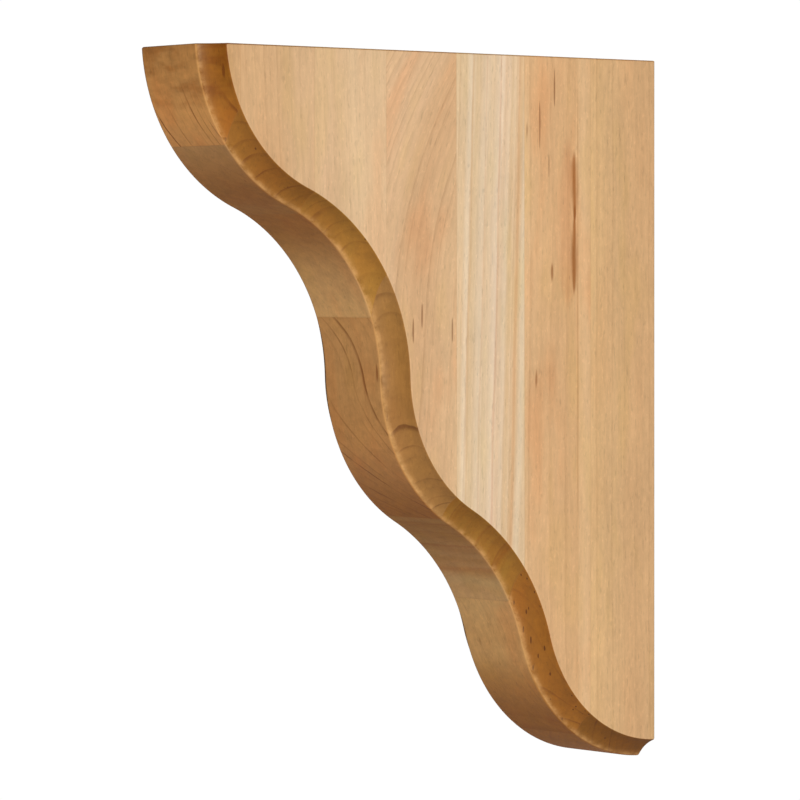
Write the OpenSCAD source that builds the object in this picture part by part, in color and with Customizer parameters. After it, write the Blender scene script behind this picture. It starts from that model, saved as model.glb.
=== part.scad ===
// Wooden corbel bracket: a thick board glued up from upright staves, with a flat back for
// the wall, a flat top for the shelf or counter, and a waved front edge. A shallow cove runs
// along both edges of the wave, so each side face stands back from the wave's flat.
//
// Frame: +Z is up, the wall is the plane Y = 0, the bracket reaches out towards -Y, and X
// runs along the wall. The origin is the middle of the flat back.
//
// The wave is five arcs that touch: three lobes that swell outwards and two hollows between
// them. It is laid out in a side view whose first axis, u, runs out from the wall.

/* [Board] */
// Height of the flat back against the wall
bracket_height = 254; // [215:1:330]
// How far the flat top reaches out from the wall
bracket_reach = 203; // [165:1:250]
// Thickness of the board, along the wall
board_thickness = 47.5; // [30:0.5:80]
// Width of each glued stave, counted out from the wall
stave_width = 31.75; // [20:0.25:60]

/* [Wave] */
// Radius of the lobe under the top
top_lobe_radius = 63; // [50:0.5:75]
// Radius of the hollow below the top lobe
upper_hollow_radius = 66; // [50:0.5:90]
// Radius of the lobe half way down
middle_lobe_radius = 62; // [50:0.5:75]
// Radius of the hollow below the middle lobe
lower_hollow_radius = 70; // [50:0.5:90]
// Radius of the lobe that runs into the wall
low_lobe_radius = 62; // [50:0.5:75]
// Height of the top lobe's centre above the flat top
top_lobe_rise = 4; // [0:0.5:12]
// Depth of the low lobe's centre behind the flat back
low_lobe_inset = 2; // [0:0.5:12]
// Place of the middle lobe between the other two, 0 at the top lobe and 1 at the low lobe
middle_lobe_place = 0.58; // [0.5:0.01:0.65]
// How far the middle lobe's centre stands out from the line between the other two centres
middle_lobe_offset = 4; // [-8:0.5:10]

/* [Cove] */
// Width of the cove, across the waved edge
cove_width = 8.5; // [4:0.5:12]
// Depth of the cove, where it meets the side face
cove_depth = 6.5; // [3:0.5:10]
// Radius of the cove's section
cove_radius = 16; // [10:0.5:24]

/* [Hidden] */
$fn = 96;
// How far the shapes that get trimmed, or do the trimming, run past the board
past = 20;
// Gap left between a lobe and a hollow where they touch, so that neither surface grazes the other
touch_gap = 0.004;
// A strip narrower than this at the front stays part of the last stave
least_stave = 3;

top_z = bracket_height / 2;
stave_count = ceil((bracket_reach - least_stave) / stave_width);

// Colour of each stave, from the wall outwards
STAVE_COLOURS = ["#c8a074", "#cf9f70", "#dcbc90", "#cfa47a", "#d2aa7c", "#cda476", "#bd8f5c"];

// Centres of the five arcs in the side view, as [u, z]
top_lobe = [bracket_reach - other_leg(top_lobe_radius, top_lobe_rise), top_z + top_lobe_rise];
low_lobe = [-low_lobe_inset, -top_z + other_leg(low_lobe_radius, low_lobe_inset)];
middle_lobe = top_lobe + middle_lobe_place * (low_lobe - top_lobe)
    + middle_lobe_offset * outward(low_lobe - top_lobe);
upper_hollow = touching_centre(
    top_lobe, top_lobe_radius, middle_lobe, middle_lobe_radius, upper_hollow_radius);
lower_hollow = touching_centre(
    middle_lobe, middle_lobe_radius, low_lobe, low_lobe_radius, lower_hollow_radius);

// Name of a stave, counted out from the wall
function stave_name(i) = str("stave_", i);

// Second leg of a right triangle, from its long side and first leg
function other_leg(long_side, leg) = sqrt(long_side * long_side - leg * leg);

// The unit vector square to a downward line, on the side away from the wall
function outward(line) = [-line[1], line[0]] / norm(line);

// Centre of a circle of radius r that touches circles a and b, on the side away from the wall
function touching_centre(a, a_radius, b, b_radius, r) =
    let (gap = norm(b - a), from_a = a_radius + touch_gap + r, from_b = b_radius + touch_gap + r)
    let (along = (gap * gap + from_a * from_a - from_b * from_b) / (2 * gap))
    a + along * (b - a) / gap + other_leg(from_a, along) * outward(b - a);

// Centre of the cove's section, as [distance from the arc's centre, place across the board].
// The section passes through the edge of the wave's flat and the edge of the side face. The
// side face's edge lies nearer the centre on a lobe (way 1) and farther out on a hollow (way -1).
function cove_centre(arc_radius, way) =
    let (flat_edge = [arc_radius, board_thickness / 2 - cove_width])
    let (face_edge = [arc_radius - way * cove_depth, board_thickness / 2])
    let (chord = face_edge - flat_edge, width = norm(chord))
    (flat_edge + face_edge) / 2
        + other_leg(cove_radius, width / 2) * way * [chord[1], -chord[0]] / width;

// Both cove sections of one arc, one at each side face
module cove_sections(arc_radius, way) {
    for (side = [-1, 1])
        scale([1, side]) translate(cove_centre(arc_radius, way)) circle(cove_radius);
}

// Stands a shape that is drawn in the side view upright, with its thickness along X
module stand_up() {
    rotate([0, 0, -90]) rotate([90, 0, 0]) children();
}

// A lobe: a disc as thick as the board, coved around both edges
module lobe(centre, arc_radius) {
    translate(centre) rotate_extrude() difference() {
        translate([0, -board_thickness / 2]) square([arc_radius, board_thickness]);
        cove_sections(arc_radius, 1);
    }
}

// What a hollow takes away: a drum that flares where it leaves the board
module hollow(centre, arc_radius) {
    translate(centre) rotate_extrude() union() {
        translate([0, -board_thickness / 2 - past]) square([arc_radius, board_thickness + 2 * past]);
        cove_sections(arc_radius, -1);
    }
}

// The web behind the lobes. It runs through the arcs' centres, so it crosses the wave only
// where a lobe touches a hollow.
module web() {
    translate([0, 0, -board_thickness / 2]) linear_extrude(board_thickness) polygon([
        [-past, top_z + past],
        [top_lobe[0], top_z + past],
        top_lobe,
        upper_hollow,
        middle_lobe,
        lower_hollow,
        low_lobe,
        [-past, low_lobe[1]],
    ]);
}

// The waved board, still untrimmed at the wall and at the top
module waved_board() {
    stand_up() difference() {
        union() {
            web();
            lobe(top_lobe, top_lobe_radius);
            lobe(middle_lobe, middle_lobe_radius);
            lobe(low_lobe, low_lobe_radius);
        }
        hollow(upper_hollow, upper_hollow_radius);
        hollow(lower_hollow, lower_hollow_radius);
    }
}

// One stave: the board between two glue planes, trimmed flat at the top
module stave(i) {
    wall_side = (i - 1) * stave_width;
    front_side = i == stave_count ? bracket_reach + past : i * stave_width;
    color(STAVE_COLOURS[(i - 1) % len(STAVE_COLOURS)]) intersection() {
        waved_board();
        translate([-board_thickness, -front_side, -bracket_height])
            cube([2 * board_thickness, front_side - wall_side, bracket_height + top_z]);
    }
}

for (i = [1:stave_count]) stave(i);
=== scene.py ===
"""The looks of a wooden corbel bracket: seven glued staves, waved and coved along the front edge.

The board stands upright. +Z is up, the wall is the plane Y = 0, the bracket reaches out
towards -Y, and X runs along the wall. Lengths are written in millimetres and scaled once.
"""

import logging
import math
from dataclasses import dataclass, field, replace
from enum import Enum
from typing import Any, Callable, Iterable

import bmesh
import bpy
from mathutils import Matrix, Vector


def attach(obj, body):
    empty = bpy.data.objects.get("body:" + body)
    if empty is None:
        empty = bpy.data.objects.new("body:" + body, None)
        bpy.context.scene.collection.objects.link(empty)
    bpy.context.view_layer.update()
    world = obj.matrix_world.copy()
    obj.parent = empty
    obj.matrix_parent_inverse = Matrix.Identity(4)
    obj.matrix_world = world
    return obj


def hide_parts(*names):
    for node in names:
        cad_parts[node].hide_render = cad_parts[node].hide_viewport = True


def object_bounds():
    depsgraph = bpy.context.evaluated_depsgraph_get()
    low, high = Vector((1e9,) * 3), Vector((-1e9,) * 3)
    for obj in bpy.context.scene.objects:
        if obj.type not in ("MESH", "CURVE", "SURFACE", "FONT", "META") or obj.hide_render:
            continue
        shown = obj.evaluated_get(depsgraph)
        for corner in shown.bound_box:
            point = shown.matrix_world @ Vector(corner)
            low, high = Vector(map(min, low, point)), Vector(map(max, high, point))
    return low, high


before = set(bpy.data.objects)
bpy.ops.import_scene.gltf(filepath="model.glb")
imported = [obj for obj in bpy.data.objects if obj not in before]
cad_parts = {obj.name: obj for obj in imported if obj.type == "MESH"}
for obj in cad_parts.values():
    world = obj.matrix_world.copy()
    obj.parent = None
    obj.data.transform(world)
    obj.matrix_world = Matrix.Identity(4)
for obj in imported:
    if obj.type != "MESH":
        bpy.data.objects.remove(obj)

MM = 0.001
STAVE_WIDTH = 31.75
CAD_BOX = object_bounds()
LOG = logging.getLogger("corbel")

# How near two points have to be, in metres, to be cut, welded or found on a plane together.
CUT_REACH = 1e-7
WELD_REACH = 2e-6
PLANE_REACH = 2e-7

Colour = tuple[float, float, float]
Span = tuple[float, float]


def paint(red: int, green: int, blue: int) -> Colour:
    """A colour chip of three steps, 0 to 255, taken off the sRGB curve to a shader's linear colour."""
    return tuple(
        c / 12.92 if c <= 0.04045 else ((c + 0.055) / 1.055) ** 2.4
        for c in (red / 255, green / 255, blue / 255)
    )


# ---- shape


class Way(Enum):
    """Which way an arc of the wave bulges."""

    LOBE = 1
    HOLLOW = -1


@dataclass
class Arc:
    """One arc of the wave, in a side view of u, the distance out from the wall, and z."""

    centre: Vector
    radius: float
    way: Way
    start: float = 0.0
    end: float = 0.0

    def facing(self, angle: float) -> Vector:
        """The direction from the arc's centre at an angle, in radians."""
        return Vector((math.cos(angle), math.sin(angle)))

    def angle_to(self, point: Vector) -> float:
        """The angle at which a point lies, seen from the arc's centre."""
        step = point - self.centre
        return math.atan2(step.y, step.x)

    def stations(self, spacing: float) -> list[tuple[Vector, Vector]]:
        """Points along the arc, each with the direction that leads out of the wood.

        Args:
            spacing: The distance between neighbouring points, in millimetres.

        Returns:
            Pairs of a point and its outward direction, from the top down.
        """
        turn = self.end - self.start
        count = max(2, round(abs(turn) * self.radius / spacing))
        result = []
        for k in range(count + 1):
            direction = self.facing(self.start + turn * k / count)
            result.append((self.centre + self.radius * direction, self.way.value * direction))
        return result


@dataclass
class Wave:
    """The waved front: three lobes and two hollows that touch, in millimetres."""

    height: float
    reach: float
    top_lobe_radius: float = 63.0
    upper_hollow_radius: float = 66.0
    middle_lobe_radius: float = 62.0
    lower_hollow_radius: float = 70.0
    low_lobe_radius: float = 62.0
    top_lobe_rise: float = 4.0
    low_lobe_inset: float = 2.0
    middle_lobe_place: float = 0.58
    middle_lobe_offset: float = 4.0
    overrun: float = 5.0
    spacing: float = 0.9

    @staticmethod
    def other_leg(long_side: float, leg: float) -> float:
        """The second leg of a right triangle."""
        return math.sqrt(long_side * long_side - leg * leg)

    @staticmethod
    def outward(line: Vector) -> Vector:
        """The unit vector square to a downward line, on the side away from the wall."""
        return Vector((-line.y, line.x)) / line.length

    def touching_arc(self, above: Arc, below: Arc, radius: float) -> Arc:
        """The hollow that touches two lobes from outside.

        Args:
            above: The lobe above the hollow.
            below: The lobe below it.
            radius: The hollow's own radius.

        Returns:
            The hollow, with its two ends at the touching points.
        """
        line = below.centre - above.centre
        gap = line.length
        from_above = above.radius + radius
        from_below = below.radius + radius
        along = (gap * gap + from_above * from_above - from_below * from_below) / (2 * gap)
        centre = above.centre + line * (along / gap)
        centre += self.other_leg(from_above, along) * self.outward(line)
        return Arc(centre, radius, Way.HOLLOW)

    def arcs(self) -> list[Arc]:
        """Lays out the wave.

        Returns:
            The five arcs from the top down, with their ends set.
        """
        top = self.height / 2
        first = Arc(
            Vector((self.reach - self.other_leg(self.top_lobe_radius, self.top_lobe_rise),
                    top + self.top_lobe_rise)),
            self.top_lobe_radius, Way.LOBE)
        last = Arc(
            Vector((-self.low_lobe_inset,
                    -top + self.other_leg(self.low_lobe_radius, self.low_lobe_inset))),
            self.low_lobe_radius, Way.LOBE)
        line = last.centre - first.centre
        middle = Arc(
            first.centre + line * self.middle_lobe_place
            + self.middle_lobe_offset * self.outward(line),
            self.middle_lobe_radius, Way.LOBE)
        upper = self.touching_arc(first, middle, self.upper_hollow_radius)
        lower = self.touching_arc(middle, last, self.lower_hollow_radius)
        run = [first, upper, middle, lower, last]
        first.start = first.angle_to(Vector((self.reach, top))) + self.overrun / first.radius
        last.end = last.angle_to(Vector((0.0, -top))) - self.overrun / last.radius
        for one, other in zip(run, run[1:]):
            lobe = one if one.way is Way.LOBE else other
            away = other.centre if lobe is one else one.centre
            touch = lobe.centre + lobe.radius * (away - lobe.centre).normalized()
            one.end = one.angle_to(touch)
            other.start = other.angle_to(touch)
        return run

    def stations(self) -> list[tuple[Vector, Vector]]:
        """Every point along the wave, from above the top to behind the wall."""
        return [station for count, arc in enumerate(self.arcs())
                for station in arc.stations(self.spacing)[min(count, 1):]]


@dataclass(frozen=True)
class SectionPoint:
    """One point of the section across the waved edge."""

    across: float
    depth: float
    ridge: float
    cove: float


@dataclass
class Section:
    """The section across the waved edge: a flat with a cove on each side, corners eased."""

    thickness: float
    cove_width: float = 8.5
    cove_depth: float = 6.5
    cove_radius: float = 16.0
    ridge_ease: float = 0.75
    ridge_glow: float = 1.35
    flat_glow: float = 0.5
    face_ease: float = 0.45
    ease_gap: float = 0.1
    cove_steps: int = 11
    ease_steps: int = 4
    flat_steps: int = 10

    def cove(self) -> list[Vector]:
        """The cove of the +X side.

        Returns:
            Its points from the side face to the flat, as places across and deep.
        """
        face_edge = Vector((self.thickness / 2, self.cove_depth))
        flat_edge = Vector((self.thickness / 2 - self.cove_width, 0.0))
        chord = flat_edge - face_edge
        rise = Wave.other_leg(self.cove_radius, chord.length / 2)
        centre = (face_edge + flat_edge) / 2 + rise * Vector((-chord.y, chord.x)) / chord.length
        begin = math.atan2(face_edge.y - centre.y, face_edge.x - centre.x)
        turn = math.atan2(flat_edge.y - centre.y, flat_edge.x - centre.x) - begin
        turn = (turn + math.pi) % (2 * math.pi) - math.pi
        return [
            centre + self.cove_radius * Vector((math.cos(begin + turn * k / self.cove_steps),
                                                math.sin(begin + turn * k / self.cove_steps)))
            for k in range(self.cove_steps + 1)
        ]

    def eased(self, before: Vector, corner: Vector, after: Vector, reach: float) -> list[Vector]:
        """A corner rounded over, as a smooth curve that starts and ends on its two sides.

        Args:
            before: A point on the side that leads into the corner.
            corner: The corner itself.
            after: A point on the side that leads out of it.
            reach: How far from the corner the rounding begins.

        Returns:
            The points of the rounding, from one side to the other.
        """
        a = corner + (before - corner).normalized() * reach
        b = corner + (after - corner).normalized() * reach
        points = []
        for k in range(self.ease_steps + 1):
            t = k / self.ease_steps
            points.append(a * (1 - t) ** 2 + corner * 2 * t * (1 - t) + b * t * t)
        return points

    def points(self) -> list[SectionPoint]:
        """The whole section.

        Returns:
            Its points from the +X side face to the -X side face.
        """
        cove = self.cove()
        face_edge, flat_edge = cove[0], cove[-1]
        deeper = face_edge + Vector((0.0, self.cove_depth))
        centre = Vector((0.0, 0.0))
        half = self.eased(deeper, face_edge, cove[1], self.face_ease)
        half += [p for p in cove[1:-1]
                 if (p - face_edge).length > self.face_ease + self.ease_gap
                 and (p - flat_edge).length > self.ridge_ease + self.ease_gap]
        half += self.eased(cove[-2], flat_edge, centre, self.ridge_ease)
        ease_end = half[-1].x
        half += [Vector((ease_end * (1 - k / (self.flat_steps / 2)), 0.0))
                 for k in range(1, self.flat_steps // 2 + 1)]
        marks = []
        # The ridge mark fades off the ridge, further on the cove side; it carries a painted highlight,
        # with wear, along the ridge.
        for point in half:
            in_cove = point.x > flat_edge.x
            fade = self.ridge_glow if in_cove else self.flat_glow
            ridge = math.exp(-((point - flat_edge).length / fade) ** 2)
            marks.append(SectionPoint(point.x, point.y, ridge, float(in_cove)))
        return marks + [SectionPoint(-m.across, m.depth, m.ridge, m.cove)
                        for m in reversed(marks[:-1])]


@dataclass
class Board:
    """The whole glued-up board before it is told apart into its staves."""

    height: float
    reach: float
    thickness: float
    edge_ease: float = 0.7
    ease_cuts: int = 4
    wall_margin: float = 1.01
    wave: Wave = field(init=False)
    section: Section = field(init=False)

    def __post_init__(self) -> None:
        """Lays out the wave and its section from the board's own sizes."""
        self.wave = Wave(self.height, self.reach)
        self.section = Section(self.thickness)

    def raw(self) -> bmesh.types.BMesh:
        """The board with its waved edge, running past the top and the wall.

        Returns:
            A closed mesh in metres, with the layers "front", "ridge" and "cove" on its points.
        """
        mesh = bmesh.new()
        front = mesh.verts.layers.float.new("front")
        ridge = mesh.verts.layers.float.new("ridge")
        cove = mesh.verts.layers.float.new("cove")
        section = self.section.points()
        rows = []
        for point, out in self.wave.stations():
            row = []
            for mark in section:
                place = point - out * mark.depth
                vert = mesh.verts.new((mark.across * MM, -place.x * MM, place.y * MM))
                vert[front] = 1.0
                vert[ridge] = mark.ridge
                vert[cove] = mark.cove
                row.append(vert)
            rows.append(row)
        for upper, lower in zip(rows, rows[1:]):
            for k in range(len(section) - 1):
                mesh.faces.new((upper[k], upper[k + 1], lower[k + 1], lower[k]))
        past = self.wave.overrun * MM
        corners = [mesh.verts.new((side * self.thickness / 2 * MM, past, self.height / 2 * MM + past))
                   for side in (1, -1)]
        mesh.faces.new([row[0] for row in rows] + [corners[0]])
        mesh.faces.new([row[-1] for row in reversed(rows)] + [corners[1]])
        mesh.faces.new(list(reversed(rows[0])) + [corners[0], corners[1]])
        mesh.faces.new(list(rows[-1]) + [corners[1], corners[0]])
        return mesh

    @staticmethod
    def cut(mesh: bmesh.types.BMesh, place: Vector, out: Vector, trim: bool) -> None:
        """Cuts the mesh with a plane.

        Args:
            mesh: The mesh that is cut.
            place: A point of the plane.
            out: The plane's direction; what lies on that side goes when trim is true.
            trim: Whether to take the outer side away and close the cut with a face.
        """
        geometry = list(mesh.verts) + list(mesh.edges) + list(mesh.faces)
        made = bmesh.ops.bisect_plane(mesh, geom=geometry, dist=CUT_REACH, plane_co=place,
                                      plane_no=out, clear_outer=trim)
        if trim:
            rim = [e for e in made["geom_cut"] if isinstance(e, bmesh.types.BMEdge) and e.is_boundary]
            bmesh.ops.contextual_create(mesh, geom=rim)

    def ease_offset(self, depth: float) -> float:
        """How far a rounded edge falls back, a distance into its rounding, both in metres."""
        radius = self.edge_ease * MM
        return radius - math.sqrt(radius ** 2 - min(max(depth, 0.0), radius) ** 2)

    def shaped(self) -> bmesh.types.BMesh:
        """The finished board.

        Returns:
            The mesh, trimmed at the top and the wall, with those edges eased.
        """
        mesh = self.raw()
        top = self.height / 2 * MM
        radius = self.edge_ease * MM
        self.cut(mesh, Vector((0, 0, top)), Vector((0, 0, 1)), True)
        self.cut(mesh, Vector((0, 0, 0)), Vector((0, 1, 0)), True)
        for k in range(self.ease_cuts):
            step = radius * math.sin(math.pi / 2 * k / self.ease_cuts)
            self.cut(mesh, Vector((0, 0, top - radius + step)), Vector((0, 0, 1)), False)
            self.cut(mesh, Vector((0, step - radius, 0)), Vector((0, 1, 0)), False)
        front = mesh.verts.layers.float["front"]
        half = self.thickness / 2 * MM
        for vert in mesh.verts:
            x, y, z = vert.co
            on_front = vert[front] > 0.5
            at_wall = y > -radius * self.wall_margin
            from_top = self.ease_offset(z - (top - radius))
            from_wall = self.ease_offset(y + radius)
            new_y = y + from_top if on_front else y
            new_y = min(new_y, -from_top) if at_wall else new_y
            new_z = z + from_wall if on_front and z < 0 else z
            vert.co = (x * (1 - max(from_top, from_wall) / half), new_y, new_z)
        bmesh.ops.remove_doubles(mesh, verts=list(mesh.verts), dist=WELD_REACH)
        bmesh.ops.recalc_face_normals(mesh, faces=list(mesh.faces))
        return mesh


# ---- shading


def operator(operation: str, swapped: bool = False) -> Callable[["Value", Any], "Value"]:
    """Makes a method of Value that adds a Math node.

    Args:
        operation: The node's operation.
        swapped: Whether the value itself is the second number.

    Returns:
        The method.
    """
    def method(self: "Value", other: Any = 0.0) -> "Value":
        """The value and the other number, put through a Math node."""
        first, second = (other, self) if swapped else (self, other)
        return self.graph.node("ShaderNodeMath", {"operation": operation}, {0: first, 1: second})

    return method


class Value:
    """A shader socket that takes part in Python arithmetic."""

    __add__ = operator("ADD")
    __radd__ = operator("ADD", swapped=True)
    __sub__ = operator("SUBTRACT")
    __rsub__ = operator("SUBTRACT", swapped=True)
    __mul__ = operator("MULTIPLY")
    __rmul__ = operator("MULTIPLY", swapped=True)
    __truediv__ = operator("DIVIDE")
    __pow__ = operator("POWER")
    __abs__ = operator("ABSOLUTE")
    fraction = operator("FRACT")
    floor = operator("FLOOR")
    at_most = operator("MINIMUM")
    at_least = operator("MAXIMUM")

    def __init__(self, graph: "Graph", socket: bpy.types.NodeSocket) -> None:
        """Keeps the socket and the graph in which new nodes are made."""
        self.graph = graph
        self.socket = socket

    def smooth(self, low: float, high: float) -> "Value":
        """Rises smoothly from 0 to 1.

        Args:
            low: Where it is 0. It may be the larger of the two.
            high: Where it is 1.

        Returns:
            The value, 0 to 1.
        """
        if low > high:
            return 1 - self.smooth(high, low)
        return self.graph.node(
            "ShaderNodeMapRange", {"interpolation_type": "SMOOTHSTEP"},
            {"Value": self, "From Min": low, "From Max": high}, "Result")


class Graph:
    """The node graph of one material."""

    def __init__(self, name: str) -> None:
        """Makes an empty material.

        Args:
            name: The material's name.
        """
        self.material = bpy.data.materials.new(name)
        self.material.use_nodes = True
        self.tree = self.material.node_tree
        self.tree.nodes.clear()

    def node(self, kind: str, settings: dict[str, Any], inputs: dict[Any, Any],
             output: Any = 0) -> Value:
        """Adds a node.

        Args:
            kind: The node's type.
            settings: The node's own settings, set first; "stops" fills a colour ramp.
            inputs: Values or links for its sockets, by name, identifier or number.
            output: Which output is wanted, by name, identifier or number.

        Returns:
            The wanted output.
        """
        node = self.tree.nodes.new(kind)
        for key, value in settings.items():
            if key == "stops":
                self._fill_ramp(node.color_ramp, value)
            else:
                setattr(node, key, value)
        for key, value in inputs.items():
            socket = self._socket(node.inputs, key)
            if isinstance(value, Value):
                self.tree.links.new(value.socket, socket)
            elif isinstance(value, tuple) and len(value) == 3 and socket.type == "RGBA":
                socket.default_value = (*value, 1.0)
            else:
                socket.default_value = value
        return Value(self, self._socket(node.outputs, output))

    @staticmethod
    def _socket(sockets: Any, key: Any) -> bpy.types.NodeSocket:
        """Finds a socket by number, identifier or name."""
        named = {} if isinstance(key, int) else {s.identifier: s for s in sockets}
        return named.get(key) or sockets[key]

    @staticmethod
    def _fill_ramp(ramp: bpy.types.ColorRamp, stops: Iterable[tuple[float, Colour]]) -> None:
        """Gives a colour ramp its stops.

        Args:
            ramp: The ramp.
            stops: Its places and colours, in rising order.
        """
        stops = list(stops)
        ramp.interpolation = "EASE"
        while len(ramp.elements) < len(stops):
            ramp.elements.new(1.0)
        for element, (place, colour) in zip(ramp.elements, stops):
            element.position = place
            element.color = (*colour, 1.0)

    def close(self, shader: Value) -> bpy.types.Material:
        """Joins a shader to the material's output.

        Args:
            shader: The shader.

        Returns:
            The finished material.
        """
        output = self.tree.nodes.new("ShaderNodeOutputMaterial")
        self.tree.links.new(shader.socket, output.inputs["Surface"])
        return self.material

    def blend(self, first: Any, second: Any, factor: Any, how: str = "MIX") -> Value:
        """Mixes a first colour, at factor 0, with a second, at factor 1, by a blend type."""
        return self.node(
            "ShaderNodeMix", {"data_type": "RGBA", "blend_type": how, "clamp_result": False},
            {"Factor_Float": factor, "A_Color": first, "B_Color": second}, "Result_Color")

    def axis(self, vector: Value, name: str) -> Value:
        """One part of a vector, by the name of its axis."""
        return self.node("ShaderNodeSeparateXYZ", {}, {0: vector}, name)

    def vector(self, operation: str, first: Any, second: Any) -> Value:
        """Adds a Vector Math node, whose second input is a vector, or the scale of a SCALE."""
        key = "Scale" if operation == "SCALE" else 1
        return self.node("ShaderNodeVectorMath", {"operation": operation}, {0: first, key: second})

    def noise(self, place: Value, stretch: tuple[float, float, float], seed: float,
              detail: float = 2.0, roughness: float = 0.5) -> Value:
        """Soft noise around 0, about -0.5 to 0.5.

        Args:
            place: The point in millimetres.
            stretch: Features per millimetre along X, Y and Z.
            seed: Sets one noise apart from another.
            detail: Finer layers on top of the first.
            roughness: How strong the finer layers are.

        Returns:
            The noise value.
        """
        scaled = self.vector("MULTIPLY", place, stretch)
        # Each seed looks at another part of the same endless noise.
        moved = self.vector("ADD", scaled, (seed * 1.7, seed * 3.1 + 5.0, seed * 0.6))
        return self.node(
            "ShaderNodeTexNoise", {"noise_dimensions": "3D"},
            {"Vector": moved, "Scale": 1.0, "Detail": detail, "Roughness": roughness}, "Fac") - 0.5


# ---- wood


class Slot(Enum):
    """The record's material slots."""

    TAN = "tan_wood"
    PALE = "pale_wood"
    HONEY = "honey_wood"


@dataclass(frozen=True)
class Noise:
    """One soft noise of the wood, with its features per millimetre along X, Y and Z."""

    seed: float
    stretch: tuple[float, float, float]
    detail: float = 2.0
    roughness: float = 0.5
    with_grain: bool = False


BAND_SWAY = Noise(1.0, (0.03, 0.03, 0.009), 1.0)
RING_SWAY = Noise(2.0, (0.02, 0.02, 0.006), 2.0, 0.45)
DASH_EDGE = Noise(4.0, (1.2, 1.2, 0.10), 1.0)
FIBRE = Noise(5.0, (0.9, 0.9, 0.12), 3.0, 0.65, with_grain=True)
COARSE = Noise(6.0, (0.20, 0.20, 0.030), with_grain=True)
CURL = Noise(7.0, (0.30, 0.55, 0.30), 3.0, 0.6)
CLOUD = Noise(8.0, (0.05, 0.05, 0.02), with_grain=True)
PORE = Noise(9.0, (1.3, 1.3, 0.30), 1.0, with_grain=True)
SPECK = Noise(10.0, (1.0, 1.0, 0.60), 1.0, with_grain=True)
WARMTH = Noise(11.0, (0.07, 0.07, 0.018), 2.0, 0.55, with_grain=True)
BLOTCH = Noise(12.0, (0.22, 0.22, 0.26), 4.0, 0.62)
SWIRL = Noise(13.0, (0.06, 0.06, 0.17), 3.0, 0.55)
FADED = Noise(14.0, (0.09, 0.09, 0.06))
JITTER = Noise(15.0, (0.24, 0.24, 0.10))


@dataclass(frozen=True)
class Facing:
    """How squarely a surface has to face an axis before it counts, from not at all to fully."""

    side: Span = (0.84, 0.985)
    back: Span = (0.5, 0.9)
    top: Span = (0.5, 0.9)
    end_grain: Span = (0.38, 0.92)
    # The next two spans pick out downward-facing surfaces for painted shade.
    dip_shade: Span = (-0.10, -0.48)
    underside_shade: Span = (-0.34, -0.88)
    rough: Span = (0.4, 0.9)
    bare: Span = (0.3, 0.8)


@dataclass(frozen=True)
class Edge:
    """How the shaped edge, the end grain and the glue lines are coloured, with the painted highlight and
    wear along the ridge and the painted shade on surfaces that face down.
    """

    # The colour of the painted highlight, with wear, along the ridge.
    wear_and_highlight: Colour = paint(212, 160, 98)
    end_grain: Colour = (0.58, 0.48, 0.36)
    dip_fade: Span = (9.0, -9.0)
    # The colour of the painted shade on surfaces that face down.
    underside_shade: Colour = (0.52, 0.38, 0.22)
    glue: Colour = paint(160, 104, 58)
    glue_fade: Span = (0.22, 0.05)


@dataclass(frozen=True)
class Fleck:
    """A short dash: how many fit a millimetre along each axis, and how much room each one fills."""

    stretch: tuple[float, float, float]
    size: float
    colour: Colour
    strength: float
    seeds: tuple[float, float, float] = (0.4, 0.9, 0.2)
    soft: float = 0.08


DASH = Fleck((0.16, 0.16, 0.028), 0.13, paint(142, 84, 38), 0.65)
SPOT = Fleck((0.60, 0.60, 0.05), 0.22, paint(112, 64, 30), 0.75)
SPOT_ON_FLAT = 0.2
DARK_MARK = paint(120, 72, 34)
PINK = (1.02, 0.91, 0.85)
GREEN = (0.98, 1.00, 0.86)
SEED_STEP = 7.3
NO_GLUE = -50.0


@dataclass(frozen=True)
class Streak:
    """A dark or pale mark that runs with the grain on one side of a stave, in millimetres."""

    out: float
    low: float
    high: float
    width: float
    strength: float
    colour: Colour
    waver: float = 0.6


@dataclass(frozen=True)
class Grain:
    """How one stave was cut from its log and what colour its wood is, with the shade painted in its cove
    and on its downward-tilted flats.
    """

    slot: Slot
    bands: tuple[tuple[float, Colour], ...]
    pith: tuple[float, float]
    ring: float
    line: float
    tilt: float = 0.0
    lean: float = 0.0
    bow: float = 0.0
    bow_from: float = 40.0
    line_on_flat: float = 0.2
    line_in_cove: float = 0.5
    wander: float = 5.0
    twist: float = 0.006
    mottle: float = 0.05
    blush: float = 0.5
    figure: float = 0.0
    line_top: float = 1000.0
    flat_tint: Colour = (0.84, 0.67, 0.42)
    # The cove's tint is partly the stain that the cut edge takes and partly painted shade in the hollow.
    cove_stain_and_shade: Colour = (0.43, 0.255, 0.045)
    # Painted shade: the tint multiplied into flats of the edge that tilt downward, below dip_top.
    dip_shade_tint: Colour = (1.0, 1.0, 1.0)
    dip_top: float = 1000.0
    fleck_share: float = 0.12
    spot_share: float = 0.05
    late: Colour = paint(150, 92, 44)
    streaks: tuple[Streak, ...] = ()


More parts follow.
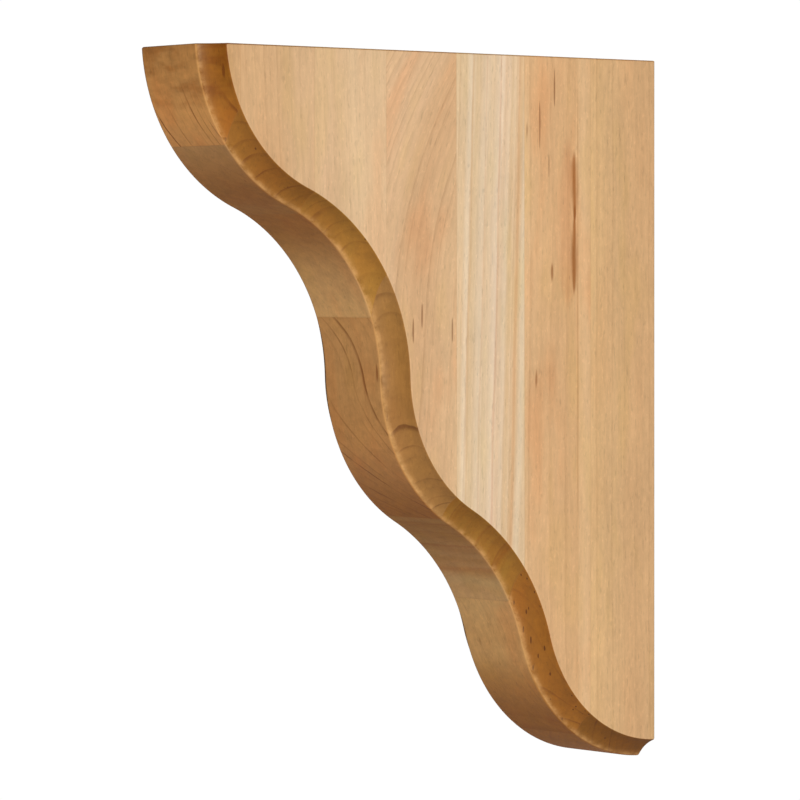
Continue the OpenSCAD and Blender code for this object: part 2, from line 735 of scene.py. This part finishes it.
class StaveWood:
    """Solid wood for one stave: colour bands, growth rings, fibres, flecks and end grain."""

    faces = Facing()
    work = Edge()

    def __init__(self, number: int, grain: Grain, wall_side: float, front_side: float) -> None:
        """Finds the place, in millimetres, and which way the surface faces.

        The fibres may lean or bow, so along and grain_place give the place as the grain runs.
        side is 1 on the two side faces, shaped 1 off them, and edge 1 on the waved edge alone.

        Args:
            number: The stave, counted out from the wall.
            grain: How its wood looks.
            wall_side: How far from the wall it begins, in millimetres.
            front_side: How far from the wall it ends.
        """
        self.number, self.grain = number, grain
        self.wall_side, self.front_side = wall_side, front_side
        self.graph = Graph(f"stave_{number}_grain")
        metres = self.graph.node("ShaderNodeTexCoord", {}, {}, "Object")
        self.place = self.graph.vector("SCALE", metres, 1 / MM)
        self.x = self.graph.axis(self.place, "X")
        self.out = -1 * self.graph.axis(self.place, "Y")
        self.z = self.graph.axis(self.place, "Z")
        above = (self.z - self.grain.bow_from).at_least(0.0)
        self.along = self.out + self.z * self.grain.lean + above * above * self.grain.bow
        self.grain_place = self.graph.node(
            "ShaderNodeCombineXYZ", {}, {0: self.x, 1: self.along, 2: self.z})
        normal = self.graph.node("ShaderNodeNewGeometry", {}, {}, "Normal")
        self.level = self.graph.axis(normal, "Z")
        self.side = abs(self.graph.axis(normal, "X")).smooth(*self.faces.side)
        self.shaped = 1 - self.side
        off_back = 1 - self.graph.axis(normal, "Y").smooth(*self.faces.back)
        self.edge = self.shaped * off_back * (1 - self.level.smooth(*self.faces.top))
        self.cove = self.mark("cove")
        self.fibre, self.coarse, self.curl, self.blotch = (
            self.noise(layer) for layer in (FIBRE, COARSE, CURL, BLOTCH))

    def mark(self, name: str) -> Value:
        """A mark that the mesh carries on its points, 0 to 1."""
        return self.graph.node("ShaderNodeAttribute", {"attribute_name": name}, {}, "Fac")

    def seed(self, n: float) -> float:
        """A noise seed of this stave's own."""
        return self.number * SEED_STEP + n

    def noise(self, noise: Noise) -> Value:
        """Draws one noise through the stave."""
        place = self.grain_place if noise.with_grain else self.place
        return self.graph.noise(
            place, noise.stretch, self.seed(noise.seed), noise.detail, noise.roughness)

    def banded(self) -> Value:
        """The broad colour bands that run up the stave.

        Returns:
            Their colour.
        """
        sway = self.noise(BAND_SWAY)
        across = (self.along - self.wall_side) / (self.front_side - self.wall_side)
        return self.graph.node(
            "ShaderNodeValToRGB", {"stops": self.grain.bands},
            {"Fac": across + sway * 0.20}, "Color")

    def by_ring(self, phase: Value, seed: float, detail: float) -> Value:
        """Noise of a seed and a detail along the line of rings, the same wherever a ring is met."""
        return self.graph.node(
            "ShaderNodeTexNoise", {"noise_dimensions": "1D"},
            {"W": phase + self.seed(seed), "Scale": 1.0, "Detail": detail}, "Fac")

    def rings(self) -> tuple[Value, Value]:
        """The growth rings.

        Returns:
            The dark latewood lines, thinner and fading on the shaped edge, and the place within
            a ring, all 0 to 1.
        """
        g = self.grain
        sway = self.noise(replace(RING_SWAY, stretch=(*RING_SWAY.stretch[:2], g.twist)))
        from_pith = self.graph.node(
            "ShaderNodeCombineXYZ", {},
            {0: self.x - g.pith[0], 1: self.along - g.pith[1] - self.z * g.tilt, 2: 0.0})
        radius = self.graph.node(
            "ShaderNodeVectorMath", {"operation": "LENGTH"}, {0: from_pith}, "Value")
        phase = (radius + sway * g.wander + self.noise(JITTER) * 0.45) / g.ring
        phase = phase + self.by_ring(phase * 0.37, 0.0, 1.0) * 1.6
        part = phase.fraction()
        broad = part.smooth(0.66, 0.94) * part.smooth(1.0, 0.95)
        thin = part.smooth(0.74, 0.92) * part.smooth(1.0, 0.96)
        strength = self.by_ring(phase.floor() * 0.83, 3.0, 0.0)
        shown = strength.smooth(0.25, 0.75) * (self.z - g.line_top).smooth(7.0, -7.0)
        thin = thin * shown * (0.30 + self.noise(FADED).smooth(-0.10, 0.12) * 0.70)
        return broad * shown * self.side + thin * self.shaped, part

    def flecks(self, fleck: Fleck, share: float) -> Value:
        """Short dark dashes that run with the grain.

        Args:
            fleck: The kind of dash.
            share: How many of the possible ones there are, 0 to 1.

        Returns:
            The dashes, 0 to 1.
        """
        stretched = self.graph.vector("MULTIPLY", self.place, fleck.stretch)
        moved = self.graph.vector("ADD", stretched, tuple(self.seed(n) for n in fleck.seeds))
        settings = {"voronoi_dimensions": "3D", "feature": "F1"}
        inputs = {"Vector": moved, "Scale": 1.0, "Randomness": 1.0}
        distance = self.graph.node("ShaderNodeTexVoronoi", settings, inputs, "Distance")
        chance = self.graph.node("ShaderNodeTexVoronoi", settings, inputs, "Color")
        red = self.graph.node("ShaderNodeSeparateColor", {}, {0: chance}, 0)
        shape = (distance + self.noise(DASH_EDGE) * 0.10).smooth(fleck.size, fleck.size - fleck.soft)
        return shape * red.smooth(1 - share, 1 - share + 0.05)

    def streaked(self, colour: Value, streak: Streak) -> Value:
        """Lays one long mark over the colour.

        Args:
            colour: The colour so far.
            streak: The mark.

        Returns:
            The colour with the mark.
        """
        waver = self.noise(Noise(streak.out * 0.11, (0.05, 0.05, 0.018)))
        frayed = self.noise(Noise(streak.out * 0.23, (0.7, 0.7, 0.06), with_grain=True))
        side = abs(self.along - streak.out + waver * streak.waver)
        middle = (streak.low + streak.high) / 2
        length = (streak.high - streak.low) / 2
        along = abs(self.z - middle) / length
        thin = side / (streak.width * (1.05 - along.at_most(1.0) ** 2.0))
        mask = (thin + frayed * 1.2).smooth(1.25, 0.0) * (along + frayed * 0.3).smooth(1.0, 0.7)
        return self.graph.blend(colour, streak.colour, mask * streak.strength)

    def figured(self, colour: Value, light: Value) -> tuple[Value, Value]:
        """Adds the wavy figure of the shaped edge, above the height where the rings end.

        Args:
            colour: The colour so far.
            light: How much it will be brightened, 1 leaving it as it is.

        Returns:
            The new colour and the new light.
        """
        swirl = self.noise(SWIRL)
        above = (self.z - self.grain.line_top).smooth(-9.0, 6.0)
        wave = swirl * self.grain.figure * above + (1 - above) * 0.34
        rich = swirl.smooth(0.04, -0.14) * above * self.shaped
        colour = self.graph.blend(colour, (1.0, 0.80, 0.60), rich * 0.7, "MULTIPLY")
        return colour, light + wave * self.shaped

    def toned(self, part: Value) -> Value:
        """The wood's own colour, with its bands, streaks, fibres, pores and figure.

        Args:
            part: The place within a growth ring, 0 to 1.

        Returns:
            The colour.
        """
        graph, g = self.graph, self.grain
        colour = self.banded()
        for streak in g.streaks:
            colour = self.streaked(colour, streak)
        pore = self.noise(PORE).smooth(0.10, 0.26)
        speck = self.noise(SPECK).smooth(0.10, 0.25)
        light = 1 + self.fibre * 0.30 + self.coarse * 0.13 + self.curl * g.mottle * 3.5
        light = light + self.noise(CLOUD) * 0.22 - (part - 0.5) * 0.04 - pore * 0.13 + speck * 0.08
        light = light + self.blotch * self.shaped * 0.42
        if g.figure:
            colour, light = self.figured(colour, light)
        colour = graph.vector("SCALE", colour, light)
        warmth = self.noise(WARMTH)
        colour = graph.blend(colour, PINK, warmth.smooth(-0.02, 0.22) * g.blush, "MULTIPLY")
        return graph.blend(colour, GREEN, warmth.smooth(-0.02, -0.2) * 0.5, "MULTIPLY")

    def lined(self, colour: Value, line: Value) -> Value:
        """Draws the ring lines, the dashes and the spots.

        Args:
            colour: The colour so far.
            line: Where the ring lines are, 0 to 1.

        Returns:
            The colour with them.
        """
        graph, g = self.graph, self.grain
        on_edge = g.line_on_flat * (1 - self.cove) + g.line_in_cove * self.cove
        weight = g.line * self.side + self.shaped * on_edge
        colour = graph.blend(colour, g.late, line * weight)
        colour = graph.blend(colour, DASH.colour, self.flecks(DASH, g.fleck_share) * DASH.strength)
        spots = self.flecks(SPOT, g.spot_share) * self.shaped
        spots = spots * (SPOT_ON_FLAT + self.cove * (1 - SPOT_ON_FLAT))
        return graph.blend(colour, SPOT.colour, spots * SPOT.strength)

    def edged(self, colour: Value) -> Value:
        """Colours the shaped edge, the end grain and the glue lines; paints a highlight, with wear,
        along the ridge, and shade in the cove, on downward-tilted flats and on the underside.

        Args:
            colour: The colour so far.

        Returns:
            The colour with them.
        """
        graph, g, look = self.graph, self.grain, self.work
        # The shaped edge is multiplied by a deeper amber; in the cove this is partly stain and partly
        # painted shade in the hollow.
        tint = graph.blend(g.flat_tint, g.cove_stain_and_shade, self.cove)
        colour = graph.blend(colour, graph.blend(colour, tint, 1.0, "MULTIPLY"), self.edge)
        # Painted highlight, with wear: the ridge and the cove beside it are lightened, unevenly.
        wear_and_highlight = self.mark("ridge") * (0.85 + self.blotch * 4.5) * self.edge
        colour = graph.blend(colour, look.wear_and_highlight, (wear_and_highlight * 0.62).at_least(0.0))
        ends = self.level.smooth(*self.faces.end_grain) * 0.9
        colour = graph.blend(colour, look.end_grain, ends, "MULTIPLY")
        # Painted shade: flats of the shaped edge that tilt downward are tinted darker, below a given
        # height.
        low = (self.z - g.dip_top).smooth(*look.dip_fade)
        dip_shade = self.level.smooth(*self.faces.dip_shade) * low * self.edge * (1 - self.cove)
        colour = graph.blend(colour, g.dip_shade_tint, dip_shade, "MULTIPLY")
        # Painted shade: surfaces that face down are darkened, half as much in the coves.
        under_shade = self.level.smooth(*self.faces.underside_shade) * (1 - self.cove * 0.5)
        colour = graph.blend(colour, look.underside_shade, under_shade, "MULTIPLY")
        wall_side = self.wall_side if self.number > 1 else NO_GLUE
        glue = abs(self.out - wall_side).at_most(abs(self.out - self.front_side))
        return graph.blend(colour, look.glue, glue.smooth(*look.glue_fade) * 0.14)

    def finish(self) -> bpy.types.Material:
        """Builds the whole shader.

        Returns:
            The finished material.
        """
        graph, faces = self.graph, self.faces
        line, part = self.rings()
        colour = self.edged(self.lined(self.toned(part), line))
        tilted = abs(self.level)
        rough = 0.50 + self.fibre * 0.10 + self.curl * 0.08 - line * 0.05
        rough = rough + tilted.smooth(*faces.rough) * 0.3
        coat = 0.06 - tilted.smooth(*faces.bare) * 0.06
        height = self.fibre * 0.6 + self.coarse * 0.3 + self.curl * 0.25 - line * 0.3
        bump = graph.node(
            "ShaderNodeBump", {}, {"Strength": 0.35, "Distance": 0.00012, "Height": height}, "Normal")
        shader = graph.node(
            "ShaderNodeBsdfPrincipled", {},
            {"Base Color": colour, "Roughness": rough, "Normal": bump, "IOR": 1.48,
             "Specular IOR Level": 0.25, "Coat Weight": coat, "Coat Roughness": 0.25}, "BSDF")
        return graph.close(shader)


def bands(*stops: tuple[float, int, int, int]) -> tuple[tuple[float, Colour], ...]:
    """The colour bands of a stave, from its wall side, 0, to its front side, 1."""
    return tuple((place, paint(red, green, blue)) for place, red, green, blue in stops)


def dashes(stave: int, shares: Iterable[float], middle: float, length: float) -> tuple[Streak, ...]:
    """Short dark dashes side by side in a stave, every other one half a length higher.

    Args:
        stave: The stave, counted out from the wall.
        shares: Where each dash stands, as a share of the stave's width from its wall side.
        middle: The height of the lower dashes' middle, in millimetres.
        length: How long each dash is, in millimetres.

    Returns:
        The dashes.
    """
    marks = []
    for count, share in enumerate(shares):
        out = (stave - 1 + share) * STAVE_WIDTH
        low = middle - length / 2 + (count % 2) * length / 2
        marks.append(Streak(out, low, low + length, 0.5, 0.75, DARK_MARK))
    return tuple(marks)


def full_line(out: float, width: float, strength: float, colour: Colour) -> Streak:
    """A pale line that runs the whole height of a stave."""
    return Streak(out, -200.0, 200.0, width, strength, colour, waver=2.0)


GRAINS: dict[int, Grain] = {
    1: Grain(
        Slot.TAN,
        bands((0.0, 211, 169, 123), (0.35, 214, 171, 124),
              (0.7, 216, 175, 127), (0.88, 219, 178, 128), (1.0, 221, 180, 130)),
        pith=(60.0, -40.0), ring=3.4, line=0.10, mottle=0.075, blush=0.3, fleck_share=0.07,
        spot_share=0.20, cove_stain_and_shade=(0.355, 0.215, 0.033)),
    2: Grain(
        Slot.TAN,
        bands((0.0, 219, 178, 131), (0.10, 226, 185, 138), (0.19, 224, 182, 134),
              (0.22, 217, 173, 125), (0.55, 218, 174, 127), (0.8, 219, 176, 129),
              (1.0, 223, 183, 137)),
        pith=(-70.0, 10.0), ring=2.6, line=0.12, blush=1.0, fleck_share=0.34, spot_share=0.60,
        flat_tint=(0.90, 0.79, 0.55), dip_shade_tint=(0.84, 0.71, 0.46), dip_top=-92.0,
        streaks=(Streak(43.0, 34.0, 100.0, 6.5, 0.42, paint(203, 140, 94), waver=3.0),
                 Streak(39.5, 67.0, 95.0, 1.9, 0.85, paint(160, 98, 44), waver=0.8),
                 Streak(39.8, 40.0, 72.0, 1.7, 0.85, paint(152, 92, 40), waver=0.8),
                 Streak(38.0, -60.0, 140.0, 0.5, 0.45, paint(178, 122, 72)),
                 Streak(49.2, 108.0, 124.0, 0.5, 0.70, DARK_MARK),
                 Streak(56.2, 92.0, 112.0, 0.5, 0.70, DARK_MARK),
                 Streak(51.9, 83.0, 93.0, 0.45, 0.60, DARK_MARK))),
    3: Grain(
        Slot.PALE,
        bands((0.0, 224, 192, 152), (0.08, 229, 203, 168), (0.17, 221, 184, 140),
              (0.24, 227, 195, 156), (0.33, 229, 202, 169), (0.42, 225, 194, 159),
              (0.47, 230, 204, 174), (0.62, 226, 197, 160), (0.70, 227, 201, 168),
              (0.84, 223, 193, 153), (0.93, 231, 206, 173), (1.0, 226, 195, 155)),
        pith=(30.0, -190.0), ring=3.6, lean=0.03, line=0.20, mottle=0.03, blush=0.3,
        fleck_share=0.04, wander=3.0, late=paint(200, 150, 106), flat_tint=(0.84, 0.67, 0.44),
        streaks=(full_line(69.0, 1.0, 0.36, paint(206, 150, 106)),
                 full_line(72.5, 1.6, 0.35, paint(208, 166, 110)),
                 full_line(78.0, 0.7, 0.45, paint(208, 156, 118)),
                 full_line(84.5, 0.6, 0.30, paint(208, 164, 124)),
                 full_line(90.5, 0.7, 0.35, paint(206, 162, 112)))),
    4: Grain(
        Slot.HONEY,
        bands((0.0, 222, 185, 142), (0.15, 220, 181, 138), (0.4, 216, 175, 132),
              (0.6, 214, 172, 129), (0.8, 215, 174, 131), (1.0, 221, 182, 141)),
        pith=(-60.0, 6.0), ring=3.0, tilt=-0.08, bow=0.0035, line=0.15, line_on_flat=0.70,
        line_in_cove=0.62, blush=1.0, flat_tint=(0.86, 0.68, 0.43), cove_stain_and_shade=(0.49, 0.36, 0.16),
        dip_shade_tint=(1.0, 0.93, 0.80), fleck_share=0.30, wander=4.0, late=paint(128, 74, 32),
        streaks=dashes(4, (1 / 16, 1 / 2, 5 / 8), middle=30.0, length=10.0)),
    5: Grain(
        Slot.HONEY,
        bands((0.0, 222, 187, 146), (0.3, 223, 189, 148), (0.55, 218, 182, 141),
              (0.8, 217, 180, 140), (1.0, 216, 179, 138)),
        pith=(-24.0, 79.0), ring=3.6, lean=-0.03, line=0.06, line_on_flat=0.08, line_in_cove=0.55,
        mottle=0.045, blush=0.6, flat_tint=(0.97, 0.79, 0.51), cove_stain_and_shade=(0.50, 0.34, 0.08)),
    6: Grain(
        Slot.HONEY,
        bands((0.0, 215, 177, 135), (0.3, 212, 172, 128), (0.6, 213, 172, 127),
              (0.85, 212, 171, 126), (1.0, 208, 167, 121)),
        pith=(-30.0, 100.0), ring=3.4, lean=-0.05, line=0.08, line_on_flat=0.12, line_in_cove=0.60,
        flat_tint=(0.98, 0.86, 0.64), cove_stain_and_shade=(0.46, 0.29, 0.06), wander=6.0, twist=0.012),
    7: Grain(
        Slot.HONEY,
        bands((0.0, 208, 166, 120), (0.5, 204, 160, 112), (1.0, 200, 156, 108)),
        pith=(-55.0, 152.0), ring=2.7, line=0.12, line_on_flat=1.0, line_in_cove=0.60, mottle=0.08,
        blush=0.9, figure=1.3, line_top=109.0, flat_tint=(0.98, 0.80, 0.53), fleck_share=0.14,
        wander=7.0, twist=0.02),
}


def placed(name: str, data: bpy.types.ID) -> bpy.types.Object:
    """Makes an object from its data and puts it in the scene.

    Args:
        name: The object's name.
        data: Its mesh, light or camera.

    Returns:
        The object.
    """
    made = bpy.data.objects.new(name, data)
    bpy.context.scene.collection.objects.link(made)
    return made


# ---- the bracket


@dataclass
class CorbelBracket:
    """The bracket: one board, told apart into the staves that it was glued up from."""

    board: Board
    stave_width: float = STAVE_WIDTH
    stave_count: int = 7

    def stave_sides(self, number: int) -> tuple[float, float]:
        """How far from the wall a stave begins and ends, in millimetres."""
        front = self.board.reach if number == self.stave_count else number * self.stave_width
        return (number - 1) * self.stave_width, front

    def stave_mesh(self, whole: bmesh.types.BMesh, number: int) -> bmesh.types.BMesh:
        """Cuts one stave out of the shaped board.

        Args:
            whole: The shaped board.
            number: The stave, counted out from the wall.

        Returns:
            The stave as a closed mesh, creased around its glued faces.
        """
        mesh = whole.copy()
        wall_side, front_side = self.stave_sides(number)
        glued = []
        if number > 1:
            glued.append((wall_side, 1))
        if number < self.stave_count:
            glued.append((front_side, -1))
        for out, way in glued:
            Board.cut(mesh, Vector((0, -out * MM, 0)), Vector((0, way, 0)), True)
        bmesh.ops.recalc_face_normals(mesh, faces=list(mesh.faces))
        for face in mesh.faces:
            face.smooth = True
        for out, _ in glued:
            for edge in mesh.edges:
                if all(abs(v.co.y + out * MM) < PLANE_REACH for v in edge.verts):
                    edge.smooth = False
        return mesh

    def stave(self, whole: bmesh.types.BMesh, number: int) -> None:
        """Builds, dresses and places one stave.

        Args:
            whole: The shaped board.
            number: The stave, counted out from the wall.
        """
        name = f"stave_{number}"
        mesh = self.stave_mesh(whole, number)
        data = bpy.data.meshes.new(f"{name}_wood")
        mesh.to_mesh(data)
        mesh.free()
        piece = placed(f"{name}_wood", data)
        even = piece.modifiers.new("even_shading", "WEIGHTED_NORMAL")
        even.mode = "FACE_AREA"
        even.weight = 100
        even.keep_sharp = True
        grain = GRAINS[number]
        wood = StaveWood(number, grain, *self.stave_sides(number)).finish()
        data.materials.append(wood)
        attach(piece, "root")
        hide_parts(name)
        LOG.info("%s: %d points, %d faces", piece.name, len(data.vertices), len(data.polygons))

    def build(self) -> None:
        """Builds every stave."""
        whole = self.board.shaped()
        for number in range(1, self.stave_count + 1):
            self.stave(whole, number)
        whole.free()


# ---- studio


@dataclass
class Camera:
    """The camera: where it stands around the bracket, in degrees and metres."""

    azimuth: float = 50.13
    elevation: float = 1.67
    roll: float = -0.095
    distance: float = 1.517
    lens: float = 193.1
    sensor: float = 36.0
    aim: tuple[float, float, float] = (0.0, -0.1013, 0.0051)

    def build(self) -> None:
        """Makes the camera and points it at the bracket."""
        a, e = math.radians(self.azimuth), math.radians(self.elevation)
        back = Vector((math.sin(a) * math.cos(e), -math.cos(a) * math.cos(e), math.sin(e)))
        data = bpy.data.cameras.new("camera")
        data.lens = self.lens
        data.sensor_width = self.sensor
        camera = placed("camera", data)
        turn = back.to_track_quat("Z", "Y").to_matrix().to_4x4()
        turn = turn @ Matrix.Rotation(math.radians(self.roll), 4, "Z")
        camera.matrix_world = Matrix.Translation(Vector(self.aim) + back * self.distance) @ turn
        bpy.context.scene.camera = camera


@dataclass
class SoftBox:
    """A large soft light."""

    name: str
    place: tuple[float, float, float]
    size: tuple[float, float]
    power: float
    colour: Colour = (1.0, 0.99, 0.98)
    aim: tuple[float, float, float] = (0.0, -0.1, 0.0)

    def build(self) -> None:
        """Makes the light and points it at the bracket."""
        data = bpy.data.lights.new(self.name, "AREA")
        data.shape = "RECTANGLE"
        data.size, data.size_y = self.size
        data.energy = self.power
        data.color = self.colour
        light = placed(self.name, data)
        back = (Vector(self.place) - Vector(self.aim)).normalized()
        light.matrix_world = (Matrix.Translation(Vector(self.place))
                              @ back.to_track_quat("Z", "Y").to_matrix().to_4x4())
        light.visible_camera = False


@dataclass
class Studio:
    """A plain pale studio: white surround, pale floor and soft lights."""

    ambient: float = 0.055
    backdrop: float = 1.02
    floor_drop: float = 1.2
    floor_radius: float = 3.0
    floor_sides: int = 96
    floor_speckle: float = 1.5
    floor_seed: float = 3.0
    floor_tones: tuple[Colour, Colour] = ((0.80, 0.80, 0.79), (0.86, 0.86, 0.85))
    lights: tuple[SoftBox, ...] = (
        SoftBox("key_light", (2.76, -1.60, 0.80), (1.6, 1.6), 99.0),
        SoftBox("back_light", (-1.98, 2.01, 1.34), (1.8, 1.8), 90.0),
    )

    def surround(self) -> None:
        """Lights the scene evenly from all round, and leaves it white behind the bracket."""
        world = bpy.data.worlds.new("studio")
        world.use_nodes = True
        tree = world.node_tree
        tree.nodes.clear()
        path = tree.nodes.new("ShaderNodeLightPath")
        mix = tree.nodes.new("ShaderNodeMixShader")
        output = tree.nodes.new("ShaderNodeOutputWorld")
        tree.links.new(path.outputs["Is Camera Ray"], mix.inputs[0])
        for slot, strength in ((1, self.ambient), (2, self.backdrop)):
            white = tree.nodes.new("ShaderNodeBackground")
            white.inputs["Color"].default_value = (1, 1, 1, 1)
            white.inputs["Strength"].default_value = strength
            tree.links.new(white.outputs[0], mix.inputs[slot])
        tree.links.new(mix.outputs[0], output.inputs["Surface"])
        bpy.context.scene.world = world

    def floor(self) -> None:
        """Makes the pale floor, well below the bracket."""
        mesh = bmesh.new()
        bmesh.ops.create_circle(mesh, cap_ends=True, segments=self.floor_sides, radius=self.floor_radius)
        data = bpy.data.meshes.new("floor")
        mesh.to_mesh(data)
        mesh.free()
        floor = placed("floor", data)
        floor.location = (0.0, 0.0, -self.floor_drop)
        graph = Graph("pale_floor")
        place = graph.node("ShaderNodeTexCoord", {}, {}, "Object")
        speck = graph.noise(place, (self.floor_speckle,) * 3, self.floor_seed)
        shader = graph.node(
            "ShaderNodeBsdfPrincipled", {},
            {"Base Color": graph.blend(*self.floor_tones, speck + 0.5),
             "Roughness": 0.9, "Emission Color": (1.0, 1.0, 1.0), "Emission Strength": 0.04}, "BSDF")
        data.materials.append(graph.close(shader))

    def build(self) -> None:
        """Builds the surround, the floor and the lights."""
        self.surround()
        self.floor()
        for light in self.lights:
            light.build()
        bpy.context.scene.view_settings.view_transform = "Standard"
        LOG.info("studio: %d soft lights", len(self.lights))


def main() -> None:
    """Builds the camera, the bracket and the studio, in order."""
    logging.basicConfig(level=logging.INFO, format="%(name)s: %(message)s")
    Camera().build()
    low, high = (Vector(c) for c in CAD_BOX)
    size = (high - low) / MM
    bracket = CorbelBracket(Board(height=size.z, reach=size.y, thickness=size.x))
    bracket.build()
    LOG.info("bracket: %d staves", bracket.stave_count)
    Studio().build()


if __name__ == "__main__":
    main()
